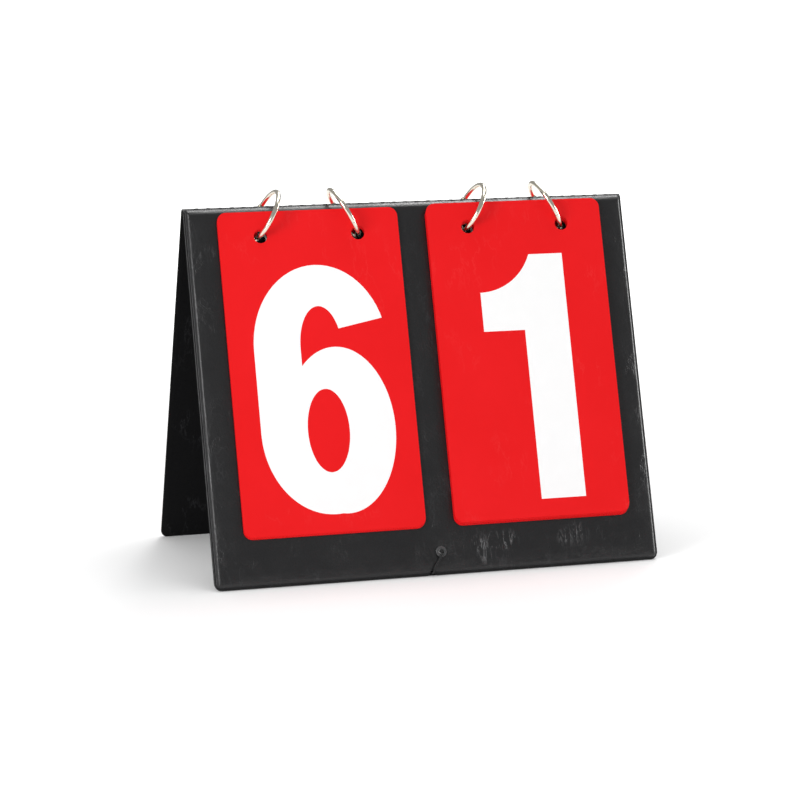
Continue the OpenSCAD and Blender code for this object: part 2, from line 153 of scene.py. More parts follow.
@dataclass(frozen=True)
class Tent:
    """How the two panels stand on the table."""

    panel_w: float = 200.0
    panel_h: float = 164.0
    half_open: float = math.radians(18.5)
    inner_gap: float = 0.3
    foot_cut: float = 0.3

    @property
    def hinge_z(self) -> float:
        """Height of the hinge line above the table."""
        lower = self.inner_gap * math.sin(self.half_open) + self.foot_cut
        return self.panel_h * math.cos(self.half_open) - lower

    def panel_frame(self, side: Side) -> Matrix:
        """Gives a panel's frame: X along the ridge, Y outward, Z up the slope, in millimetres.

        Args:
            side: Which panel.

        Returns:
            The matrix from that frame to the row frame in metres.
        """
        stand = Matrix.Translation((0, 0, self.hinge_z)) @ Matrix.Rotation(self.half_open, 4, "X")
        mirror = Matrix.Diagonal((1, -1, 1, 1)) if side is Side.FRONT else Matrix.Identity(4)
        return Matrix.Scale(MM, 4) @ mirror @ stand

    def on_slope(self, x: float, out: float, down: float, side: Side) -> Vector:
        """Gives the place of a point that lies out from and down a panel."""
        return self.panel_frame(side) @ Vector((x, out, -down))


# Shader groups and finishes


class NodeSheet:
    """Adds nodes to one node tree and joins them."""

    def __init__(self, tree: bpy.types.NodeTree) -> None:
        """Starts with the tree that the nodes go into."""
        self.tree = tree

    def add(self, kind: str, inputs: Optional[dict] = None, **settings: object) -> bpy.types.Node:
        """Adds one node.

        Args:
            kind: The node's type without its ShaderNode prefix.
            inputs: Values or sockets for its inputs, by name or number.
            settings: Values for the node's own properties.

        Returns:
            The new node.
        """
        node = self.tree.nodes.new("ShaderNode" + kind)
        for name, value in settings.items():
            setattr(node, name, value)
        for name, value in (inputs or {}).items():
            if isinstance(value, bpy.types.NodeSocket):
                self.tree.links.new(value, node.inputs[name])
            else:
                node.inputs[name].default_value = value
        return node

    def math(self, operation: str, a: object, b: object = 0.0, clamp: bool = False) -> bpy.types.NodeSocket:
        """Adds a Math node and gives its result."""
        return self.add("Math", {0: a, 1: b}, operation=operation, use_clamp=clamp).outputs[0]

    def ramp(self, value: bpy.types.NodeSocket, low: float, high: float, to_low: float = 0.0,
             to_high: float = 1.0) -> bpy.types.NodeSocket:
        """Maps a value from one range to another, and holds it there."""
        inputs = {"Value": value, "From Min": low, "From Max": high, "To Min": to_low, "To Max": to_high}
        return self.add("MapRange", inputs, clamp=True).outputs[0]

    def mix(self, share: object, a: object, b: object) -> bpy.types.NodeSocket:
        """Mixes two colours."""
        node = self.add("Mix", {0: share, 6: a, 7: b}, data_type="RGBA")
        return node.outputs[2]


class SurfaceGroups:
    """The shader groups that more than one finish uses, each built once."""

    def __init__(self) -> None:
        """Builds the groups."""
        self.grain = self._grain()
        self.mottle = self._mottle()
        self.scuffs = self._scuffs()
        self.wrinkles = self._wrinkles()
        self.spot = self._spot()

    @staticmethod
    def _tree(name: str, numbers: dict[str, float], results: Sequence[str]) -> bpy.types.NodeTree:
        """Starts a group with a Vector input, number inputs and number outputs."""
        tree = bpy.data.node_groups.new(name, "ShaderNodeTree")
        tree.interface.new_socket(name="Vector", in_out="INPUT", socket_type="NodeSocketVector")
        for label, value in numbers.items():
            socket = tree.interface.new_socket(name=label, in_out="INPUT", socket_type="NodeSocketFloat")
            socket.default_value = value
        for label in results:
            tree.interface.new_socket(name=label, in_out="OUTPUT", socket_type="NodeSocketFloat")
        return tree

    def _grain(self) -> bpy.types.NodeTree:
        """Builds the pebbled grain of embossed vinyl: soft cells with fine pores between them."""
        tree = self._tree("pebbled_grain", {"Scale": 1400.0, "Pores": 0.5}, ["Height", "Pits"])
        sheet = NodeSheet(tree)
        given, result = tree.nodes.new("NodeGroupInput"), tree.nodes.new("NodeGroupOutput")
        drift = sheet.add("TexNoise", {"Vector": given.outputs["Vector"], "Scale": 260.0, "Detail": 2.0})
        bent = sheet.add("VectorMath", {0: drift.outputs["Color"], 1: (0.0012, 0.0012, 0.0012)},
                         operation="MULTIPLY")
        place = sheet.add("VectorMath", {0: given.outputs["Vector"], 1: bent.outputs[0]}, operation="ADD")
        cells = sheet.add("TexVoronoi", {"Vector": place.outputs[0], "Scale": given.outputs["Scale"],
                                         "Smoothness": 0.6}, feature="SMOOTH_F1")
        pore_scale = sheet.math("MULTIPLY", given.outputs["Scale"], 3.1)
        pores = sheet.add("TexNoise", {"Vector": place.outputs[0], "Scale": pore_scale, "Detail": 3.0})
        dome = sheet.ramp(cells.outputs["Distance"], 0.1, 0.75, 1.0, 0.0)
        fine = sheet.math("MULTIPLY", pores.outputs["Fac"], given.outputs["Pores"])
        tree.links.new(sheet.math("ADD", dome, fine), result.inputs["Height"])
        tree.links.new(sheet.ramp(dome, 0.0, 0.45, 1.0, 0.0), result.inputs["Pits"])
        return tree

    def _mottle(self) -> bpy.types.NodeTree:
        """Builds slow cloudy variation, from 0 to 1."""
        tree = self._tree("cloudy_mottle", {"Scale": 60.0, "Detail": 4.0}, ["Value"])
        sheet = NodeSheet(tree)
        given, result = tree.nodes.new("NodeGroupInput"), tree.nodes.new("NodeGroupOutput")
        cloud = sheet.add("TexNoise", {"Vector": given.outputs["Vector"], "Scale": given.outputs["Scale"],
                                       "Detail": given.outputs["Detail"], "Roughness": 0.6})
        tree.links.new(sheet.ramp(cloud.outputs["Fac"], 0.3, 0.7), result.inputs["Value"])
        return tree

    def _scuffs(self) -> bpy.types.NodeTree:
        """Builds thin handling scuffs, as a mask from 0 to 1."""
        tree = self._tree("handling_scuffs", {"Scale": 90.0, "Amount": 0.5}, ["Mask"])
        sheet = NodeSheet(tree)
        given, result = tree.nodes.new("NodeGroupInput"), tree.nodes.new("NodeGroupOutput")
        stretched = sheet.add("Mapping", {"Vector": given.outputs["Vector"], "Scale": (1.0, 1.0, 0.16),
                                          "Rotation": (0.0, 0.35, 0.2)})
        lines = sheet.add("TexNoise", {"Vector": stretched.outputs[0], "Scale": given.outputs["Scale"],
                                       "Detail": 5.0, "Roughness": 0.65})
        ridge = sheet.math("ABSOLUTE", sheet.math("SUBTRACT", lines.outputs["Fac"], 0.5))
        line = sheet.ramp(ridge, 0.0, 0.018, 1.0, 0.0)
        where = sheet.add("TexNoise", {"Vector": given.outputs["Vector"], "Scale": 45.0, "Detail": 2.0})
        patch = sheet.ramp(where.outputs["Fac"], 0.52, 0.66)
        mask = sheet.math("MULTIPLY", sheet.math("MULTIPLY", line, patch), given.outputs["Amount"])
        tree.links.new(mask, result.inputs["Mask"])
        return tree

    def _spot(self) -> bpy.types.NodeTree:
        """Builds a round patch with soft edges, 1 in its middle and 0 outside."""
        tree = self._tree("skin_spot", {"Radius": 0.005}, ["Mask"])
        sheet = NodeSheet(tree)
        tree.interface.new_socket(name="Centre", in_out="INPUT", socket_type="NodeSocketVector")
        given, result = tree.nodes.new("NodeGroupInput"), tree.nodes.new("NodeGroupOutput")
        away = sheet.add("VectorMath", {0: given.outputs["Vector"], 1: given.outputs["Centre"]},
                         operation="DISTANCE")
        share = sheet.math("DIVIDE", away.outputs["Value"], given.outputs["Radius"])
        tree.links.new(sheet.ramp(share, 0.1, 1.25, 1.0, 0.0), result.inputs["Mask"])
        return tree

    def _wrinkles(self) -> bpy.types.NodeTree:
        """Builds the thin ragged folds of a skin that has been bent, in patches, from 0 to 1."""
        tree = self._tree("skin_wrinkles", {"Scale": 330.0, "Cover": 0.5, "Thin": 0.07}, ["Height"])
        sheet = NodeSheet(tree)
        given, result = tree.nodes.new("NodeGroupInput"), tree.nodes.new("NodeGroupOutput")
        stretched = sheet.add("Mapping", {"Vector": given.outputs["Vector"], "Scale": (1.0, 1.0, 0.55),
                                          "Rotation": (0.0, -0.3, 0.0)})
        folds = sheet.add("TexNoise", {"Vector": stretched.outputs[0], "Scale": given.outputs["Scale"],
                                       "Detail": 4.0, "Roughness": 0.6, "Distortion": 0.4})
        ridge = sheet.math("ABSOLUTE", sheet.math("SUBTRACT", folds.outputs["Fac"], 0.5))
        share = sheet.math("DIVIDE", ridge, given.outputs["Thin"])
        line = sheet.math("SUBTRACT", 1.0, share, True)
        where = sheet.add("TexNoise", {"Vector": given.outputs["Vector"], "Scale": 75.0, "Detail": 2.0})
        edge = sheet.math("SUBTRACT", 1.0, given.outputs["Cover"])
        patch = sheet.math("MULTIPLY", sheet.math("SUBTRACT", where.outputs["Fac"], edge), 8.0, True)
        tree.links.new(sheet.math("MULTIPLY", line, patch), result.inputs["Height"])
        return tree


class Finish:
    """What every finish shares: a material with one Principled shader on Object coordinates."""

    name = "finish"

    def start(self) -> tuple[bpy.types.Material, NodeSheet, bpy.types.Node, bpy.types.NodeSocket]:
        """Starts the material.

        Returns:
            The material, its node sheet, its shader and its Object coordinates.
        """
        material = bpy.data.materials.new(self.name)
        material.use_nodes = True
        sheet = NodeSheet(material.node_tree)
        shader = material.node_tree.nodes["Principled BSDF"]
        place = sheet.add("TexCoord").outputs["Object"]
        return material, sheet, shader, place

    @staticmethod
    def group(sheet: NodeSheet, tree: bpy.types.NodeTree, **inputs: object) -> bpy.types.Node:
        """Places a shader group with its own values."""
        node = sheet.add("Group", None, node_tree=tree)
        for label, value in inputs.items():
            if isinstance(value, bpy.types.NodeSocket):
                sheet.tree.links.new(value, node.inputs[label])
            else:
                node.inputs[label].default_value = value
        return node

    @staticmethod
    def relief(sheet: NodeSheet, shader: bpy.types.Node, height: bpy.types.NodeSocket, depth: float,
               strength: float = 1.0) -> None:
        """Feeds a height into the shader's normal, with its depth in metres."""
        bump = sheet.add("Bump", {"Height": height, "Distance": depth, "Strength": strength})
        sheet.tree.links.new(bump.outputs["Normal"], shader.inputs["Normal"])


@dataclass(frozen=True)
class Leatherette(Finish):
    """Black vinyl leatherette with a pebbled grain, softly shining where it is handled, with painted shade
    in the grain's pits and painted glints on the sharp wrinkles of the bent skin.
    """

    name: str = "black_leatherette"
    tone: tuple[float, float, float, float] = (0.0085, 0.0085, 0.0095, 1.0)
    worn: tuple[float, float, float, float] = (0.035, 0.035, 0.038, 1.0)
    roughness: float = 0.36
    grain_depth: float = 0.00005
    coat: float = 0.12
    folds: float = 1.6
    specular: float = 0.5
    # Lighter grey painted on the sharp wrinkles as painted glints.
    painted_glint_tone: tuple[float, float, float, float] = (0.17, 0.17, 0.175, 1.0)
    bent_folds: float = 1.8
    spots: tuple[tuple[Point, float], ...] = ()

    def _wrinkles_and_glints(self, sheet: NodeSheet, groups: SurfaceGroups,
              place: bpy.types.NodeSocket) -> bpy.types.NodeSocket:
        """Draws the sharp wrinkles where the skin has been bent most, which also carry painted glints.

        Args:
            sheet: The material's node sheet.
            groups: The shared shader groups.
            place: The piece's Object coordinates.

        Returns:
            The wrinkles, from 0 to 1, which also mark where the glints are painted.
        """
        # Soft round patches where the skin is most bent, for the sharp wrinkles and their painted glints.
        masks = [self.group(sheet, groups.spot, Vector=place, Centre=centre, Radius=radius).outputs["Mask"]
                 for centre, radius in self.spots]
        handled = masks[0]
        for mask in masks[1:]:
            handled = sheet.math("MAXIMUM", handled, mask)
        drawn = sheet.add("Mapping", {"Vector": place, "Scale": (1.0, 0.3, 0.3)})
        sharp = self.group(sheet, groups.wrinkles, Vector=drawn.outputs[0],
                           Scale=480.0, Cover=0.56, Thin=0.03)
        return sheet.math("MULTIPLY", sharp.outputs["Height"], handled)

    def build(self, groups: SurfaceGroups) -> bpy.types.Material:
        """Makes the material."""
        material, sheet, shader, place = self.start()
        grain = self.group(sheet, groups.grain, Vector=place, Scale=1350.0, Pores=0.35)
        cloud = self.group(sheet, groups.mottle, Vector=place, Scale=70.0, Detail=4.0)
        scuff = self.group(sheet, groups.scuffs, Vector=place, Scale=110.0, Amount=0.55)
        # The grain's pits are painted darker: painted shade in the recesses of the grain.
        share = sheet.math("MULTIPLY", grain.outputs["Pits"], 0.35)
        pit_shaded = sheet.mix(share, self.tone, (0.004, 0.004, 0.0045, 1.0))
        colour = sheet.mix(scuff.outputs["Mask"], pit_shaded, self.worn)
        bent = self._wrinkles_and_glints(sheet, groups, place) if self.spots else None
        # The sharp wrinkles are painted a lighter grey: painted glints on their crests.
        if bent is not None:
            colour = sheet.mix(bent, colour, self.painted_glint_tone)
        sheet.tree.links.new(colour, shader.inputs["Base Color"])
        rough = sheet.ramp(cloud.outputs["Value"], 0.0, 1.0, self.roughness - 0.06, self.roughness + 0.09)
        rough = sheet.math("SUBTRACT", rough, sheet.math("MULTIPLY", scuff.outputs["Mask"], 0.12))
        sheet.tree.links.new(rough, shader.inputs["Roughness"])
        shader.inputs["Coat Weight"].default_value = self.coat
        shader.inputs["Coat Roughness"].default_value = 0.22
        shader.inputs["IOR"].default_value = 1.5
        shader.inputs["Specular IOR Level"].default_value = self.specular
        wrinkle = self.group(sheet, groups.wrinkles, Vector=place, Scale=330.0, Cover=0.52)
        raised = sheet.math("MULTIPLY", wrinkle.outputs["Height"], self.folds)
        if bent is not None:
            raised = sheet.math("ADD", raised, sheet.math("MULTIPLY", bent, self.bent_folds))
        height = sheet.math("ADD", grain.outputs["Height"], raised)
        self.relief(sheet, shader, height, self.grain_depth)
        return material


@dataclass(frozen=True)
class CardSheet(Finish):
    """Satin red plastic sheet with faint unevenness from rolling."""

    name: str = "red_card_sheet"

    def build(self, groups: SurfaceGroups) -> bpy.types.Material:
        """Makes the material."""
        material, sheet, shader, place = self.start()
        cloud = self.group(sheet, groups.mottle, Vector=place, Scale=28.0, Detail=2.0)
        scuff = self.group(sheet, groups.scuffs, Vector=place, Scale=80.0, Amount=0.25)
        red = sheet.mix(cloud.outputs["Value"], (0.79, 0.003, 0.005, 1.0), (0.82, 0.004, 0.007, 1.0))
        colour = sheet.mix(scuff.outputs["Mask"], red, (0.85, 0.05, 0.05, 1.0))
        sheet.tree.links.new(colour, shader.inputs["Base Color"])
        rough = sheet.ramp(cloud.outputs["Value"], 0.0, 1.0, 0.44, 0.52)
        sheet.tree.links.new(rough, shader.inputs["Roughness"])
        shader.inputs["IOR"].default_value = 1.46
        shader.inputs["Specular IOR Level"].default_value = 0.25
        fine = sheet.add("TexNoise", {"Vector": place, "Scale": 900.0, "Detail": 2.0})
        self.relief(sheet, shader, fine.outputs["Fac"], 0.000006)
        return material


@dataclass(frozen=True)
class PrintInk(Finish):
    """White screen-printed ink, slightly uneven in its cover."""

    name: str = "white_print"

    def build(self, groups: SurfaceGroups) -> bpy.types.Material:
        """Makes the material."""
        material, sheet, shader, place = self.start()
        cloud = self.group(sheet, groups.mottle, Vector=place, Scale=160.0, Detail=3.0)
        colour = sheet.mix(cloud.outputs["Value"], (0.945, 0.945, 0.945, 1.0), (0.96, 0.96, 0.96, 1.0))
        sheet.tree.links.new(colour, shader.inputs["Base Color"])
        rough = sheet.ramp(cloud.outputs["Value"], 0.0, 1.0, 0.46, 0.56)
        sheet.tree.links.new(rough, shader.inputs["Roughness"])
        self.relief(sheet, shader, cloud.outputs["Value"], 0.000004)
        return material


@dataclass(frozen=True)
class PlatedWire(Finish):
    """Polished pale gold plating with hairline scratches."""

    name: str = "plated_wire"

    def build(self, groups: SurfaceGroups) -> bpy.types.Material:
        """Makes the material."""
        material, sheet, shader, place = self.start()
        cloud = self.group(sheet, groups.mottle, Vector=place, Scale=500.0, Detail=3.0)
        scuff = self.group(sheet, groups.scuffs, Vector=place, Scale=900.0, Amount=0.8)
        colour = sheet.mix(cloud.outputs["Value"], (0.80, 0.74, 0.60, 1.0), (0.86, 0.82, 0.72, 1.0))
        sheet.tree.links.new(colour, shader.inputs["Base Color"])
        shader.inputs["Metallic"].default_value = 1.0
        rough = sheet.ramp(cloud.outputs["Value"], 0.0, 1.0, 0.12, 0.2)
        rough = sheet.math("ADD", rough, sheet.math("MULTIPLY", scuff.outputs["Mask"], 0.15))
        sheet.tree.links.new(rough, shader.inputs["Roughness"])
        self.relief(sheet, shader, scuff.outputs["Mask"], 0.000004)
        return material


@dataclass(frozen=True)
class GreyBoard(Finish):
    """Plain recycled board with flecks and fibres."""

    name: str = "grey_board"

    def build(self, groups: SurfaceGroups) -> bpy.types.Material:
        """Makes the material."""
        material, sheet, shader, place = self.start()
        fleck = sheet.add("TexNoise", {"Vector": place, "Scale": 1500.0, "Detail": 4.0})
        cloud = self.group(sheet, groups.mottle, Vector=place, Scale=220.0, Detail=4.0)
        base = sheet.mix(cloud.outputs["Value"], (0.40, 0.375, 0.335, 1.0), (0.50, 0.475, 0.43, 1.0))
        mask = sheet.ramp(fleck.outputs["Fac"], 0.62, 0.7)
        colour = sheet.mix(mask, base, (0.22, 0.21, 0.20, 1.0))
        sheet.tree.links.new(colour, shader.inputs["Base Color"])
        shader.inputs["Roughness"].default_value = 0.9
        self.relief(sheet, shader, fleck.outputs["Fac"], 0.00003)
        return material


@dataclass(frozen=True)
class FoamCore(Finish):
    """Thin off-white foam with fine open cells, painted darker in their hollows as painted shade."""

    name: str = "white_foam"

    def build(self, groups: SurfaceGroups) -> bpy.types.Material:
        """Makes the material."""
        material, sheet, shader, place = self.start()
        cells = sheet.add("TexVoronoi", {"Vector": place, "Scale": 2600.0}, feature="F1")
        # The cells' hollows are painted darker: painted shade inside the open cells.
        hole = sheet.ramp(cells.outputs["Distance"], 0.0, 0.4, 1.0, 0.0)
        colour = sheet.mix(hole, (0.78, 0.77, 0.73, 1.0), (0.5, 0.49, 0.46, 1.0))
        sheet.tree.links.new(colour, shader.inputs["Base Color"])
        shader.inputs["Roughness"].default_value = 0.85
        self.relief(sheet, shader, cells.outputs["Distance"], 0.0001)
        return material


@dataclass(frozen=True)
class TwistedCord(Finish):
    """Black polyester cord with fine fibres."""

    name: str = "black_cord"

    def build(self, groups: SurfaceGroups) -> bpy.types.Material:
        """Makes the material."""
        material, sheet, shader, place = self.start()
        fibre = sheet.add("TexNoise", {"Vector": place, "Scale": 5200.0, "Detail": 3.0})
        cloud = self.group(sheet, groups.mottle, Vector=place, Scale=300.0, Detail=3.0)
        shade = sheet.mix(fibre.outputs["Fac"], (0.003, 0.003, 0.0035, 1.0), (0.012, 0.012, 0.013, 1.0))
        dust = sheet.math("MULTIPLY", cloud.outputs["Value"], 0.3)
        colour = sheet.mix(dust, shade, (0.02, 0.02, 0.02, 1.0))
        sheet.tree.links.new(colour, shader.inputs["Base Color"])
        shader.inputs["Roughness"].default_value = 0.7
        shader.inputs["Sheen Weight"].default_value = 0.06
        self.relief(sheet, shader, fibre.outputs["Fac"], 0.00005)
        return material


@dataclass(frozen=True)
class Lacquer(Finish):
    """Black lacquered metal, rubbed a little."""

    name: str = "black_lacquer"

    def build(self, groups: SurfaceGroups) -> bpy.types.Material:
        """Makes the material."""
        material, sheet, shader, place = self.start()
        cloud = self.group(sheet, groups.mottle, Vector=place, Scale=700.0, Detail=3.0)
        scuff = self.group(sheet, groups.scuffs, Vector=place, Scale=1200.0, Amount=0.7)
        colour = sheet.mix(scuff.outputs["Mask"], (0.05, 0.05, 0.052, 1.0), (0.2, 0.2, 0.2, 1.0))
        sheet.tree.links.new(colour, shader.inputs["Base Color"])
        rough = sheet.ramp(cloud.outputs["Value"], 0.0, 1.0, 0.3, 0.42)
        sheet.tree.links.new(rough, shader.inputs["Roughness"])
        shader.inputs["Coat Weight"].default_value = 0.4
        shader.inputs["Coat Roughness"].default_value = 0.2
        self.relief(sheet, shader, cloud.outputs["Value"], 0.00001)
        return material


# Places where the front skin has been bent by hand, along the ridge and down the slope, with their radii;
# there the skin gets sharp wrinkles with painted glints on them
WRINKLE_AND_GLINT_SPOTS = (
    (-6.5, 154.5, 5.6), (-3.8, 152.0, 3.6), (18.5, 152.5, 4.5), (20.0, 158.0, 2.6), (24.5, 150.5, 3.6),
    (30.5, 151.0, 4.6), (58.0, 151.5, 4.4), (62.5, 150.5, 5.2), (75.5, 149.5, 4.0), (83.0, 152.5, 3.0),
    (-91.5, 20.0, 3.6), (-90.5, 52.0, 3.0), (93.0, 20.0, 3.4),
)


@dataclass
class Finishes:
    """The materials of the record's slots, and of the printed numerals."""

    groups: SurfaceGroups = field(default_factory=SurfaceGroups)
    of_slot: dict[Slot, bpy.types.Material] = field(default_factory=dict)
    print_ink: Optional[bpy.types.Material] = None

    def __post_init__(self) -> None:
        """Builds every material."""
        lining = Leatherette(name="matt_lining", tone=(0.006, 0.006, 0.0065, 1.0), roughness=0.6,
                             grain_depth=0.00003, coat=0.0, folds=0.3, specular=0.08)
        tent = Tent()
        spots = tuple((tuple(tent.on_slope(x, 4.0, down, Side.FRONT)), radius * MM)
                      for x, down, radius in WRINKLE_AND_GLINT_SPOTS)
        makers: dict[Slot, Finish] = {
            Slot.LEATHERETTE: Leatherette(spots=spots), Slot.LINING: lining, Slot.BOARD: GreyBoard(),
            Slot.FOAM: FoamCore(), Slot.CARD: CardSheet(), Slot.WIRE: PlatedWire(),
            Slot.CORD: TwistedCord(), Slot.EYELET: Lacquer(),
        }
        self.of_slot = {slot: maker.build(self.groups) for slot, maker in makers.items()}
        self.print_ink = PrintInk().build(self.groups)

    def dress(self, piece: bpy.types.Object, slot: Slot) -> None:
        """Gives a piece the material of a slot."""
        piece.data.materials.clear()
        piece.data.materials.append(self.of_slot[slot])


# Padded panels


@dataclass(frozen=True)
class Crease:
    """A small fold in the skin, from one place to another, across the ridge and down the slope."""

    x0: float
    down0: float
    x1: float
    down1: float
    height: float = 0.1
    width: float = 0.5
    boost: float = 2.6

    def lift(self, x: float, down: float) -> float:
        """Gives how far the fold lifts the skin at a place.

        Args:
            x: Place along the ridge.
            down: Place down the slope.

        Returns:
            The lift outward, with a shallow dip on both sides of the fold.
        """
        along = (self.x1 - self.x0, self.down1 - self.down0)
        length = math.hypot(*along)
        share = ((x - self.x0) * along[0] + (down - self.down0) * along[1]) / length**2
        if not -0.5 < share < 1.5:
            return 0.0
        off = abs((x - self.x0) * along[1] - (down - self.down0) * along[0]) / length / self.width
        if off > 3:
            return 0.0
        ends = smooth_step(share, -0.35, 0.25) * (1 - smooth_step(share, 0.7, 1.35))
        return self.boost * self.height * ends * (1 - 1.6 * off * off) * math.exp(-off * off)


FRONT_CREASES = (
    Crease(17.2, 150.0, 18.2, 157.6, 0.2, 0.55), Crease(18.4, 157.4, 20.2, 161.2, 0.12, 0.5),
    Crease(19.6, 148.0, 20.4, 152.4, 0.12, 0.4), Crease(21.8, 150.6, 23.0, 155.0, 0.1, 0.45),
    Crease(24.6, 148.6, 25.4, 151.4, 0.08, 0.4), Crease(26.6, 151.6, 27.0, 156.0, 0.08, 0.45),
    Crease(29.4, 148.6, 31.8, 153.0, 0.09, 0.4), Crease(33.0, 149.8, 34.6, 154.6, 0.08, 0.45),
    Crease(-7.2, 149.6, -5.4, 154.4, 0.14, 0.45), Crease(-4.8, 150.6, -3.4, 153.4, 0.12, 0.4),
    Crease(-7.6, 152.6, -5.2, 158.0, 0.14, 0.5), Crease(-5.4, 155.2, -3.6, 160.2, 0.14, 0.5),
    Crease(-3.2, 153.4, -2.4, 156.8, 0.24, 0.6), Crease(-9.8, 151.6, -8.2, 157.4, 0.09, 0.5),
    Crease(-3.0, 157.0, -2.2, 160.4, 0.1, 0.4),
    Crease(60.4, 148.8, 59.2, 159.4, 0.13, 0.45), Crease(62.4, 149.0, 61.4, 154.0, 0.12, 0.4),
    Crease(62.6, 151.6, 65.4, 159.2, 0.14, 0.45), Crease(63.4, 154.0, 62.2, 160.6, 0.13, 0.4),
    Crease(56.4, 157.4, 57.8, 161.0, 0.09, 0.45), Crease(74.6, 148.8, 77.2, 152.6, 0.13, 0.4),
    Crease(77.0, 153.0, 78.4, 157.6, 0.1, 0.45), Crease(81.0, 153.8, 82.2, 156.6, 0.12, 0.4),
    Crease(84.0, 152.6, 85.0, 156.4, 0.1, 0.4), Crease(68.8, 152.4, 71.2, 156.2, 0.07, 0.45),
    Crease(-87.4, 50.6, -86.4, 55.4, 0.12, 0.4), Crease(-89.6, 27.0, -88.8, 31.0, 0.08, 0.4),
    Crease(-94.8, 12.2, -93.2, 17.4, 0.12, 0.45), Crease(-94.6, 18.0, -93.0, 21.8, 0.1, 0.45),
    Crease(-92.6, 140.0, -89.8, 146.0, 0.08, 0.45), Crease(-90.8, 148.0, -86.0, 154.0, 0.07, 0.45),
    Crease(92.4, 13.0, 94.6, 18.0, 0.1, 0.45), Crease(91.6, 22.0, 93.6, 25.4, 0.09, 0.45),
    Crease(92.2, 29.6, 94.8, 33.0, 0.1, 0.45), Crease(93.0, 58.0, 95.6, 60.0, 0.09, 0.4),
    Crease(0.6, 6.0, 0.9, 13.6, 0.08, 0.4),
)

REAR_CREASES = (
    Crease(-31.0, 150.4, -29.0, 158.6, 0.12, 0.5), Crease(-26.8, 152.0, -26.0, 157.0, 0.09, 0.45),
    Crease(5.4, 151.0, 7.8, 157.2, 0.12, 0.45), Crease(3.4, 154.4, 4.8, 159.8, 0.12, 0.45),
    Crease(49.8, 150.0, 48.0, 158.8, 0.12, 0.5), Crease(53.0, 151.8, 55.2, 158.2, 0.11, 0.45),
    Crease(-91.8, 42.0, -90.4, 48.4, 0.1, 0.45), Crease(91.4, 96.0, 93.8, 101.4, 0.1, 0.45),
    Crease(-93.6, 110.0, -91.8, 114.6, 0.09, 0.45), Crease(92.6, 31.2, 94.4, 36.4, 0.1, 0.45),
)


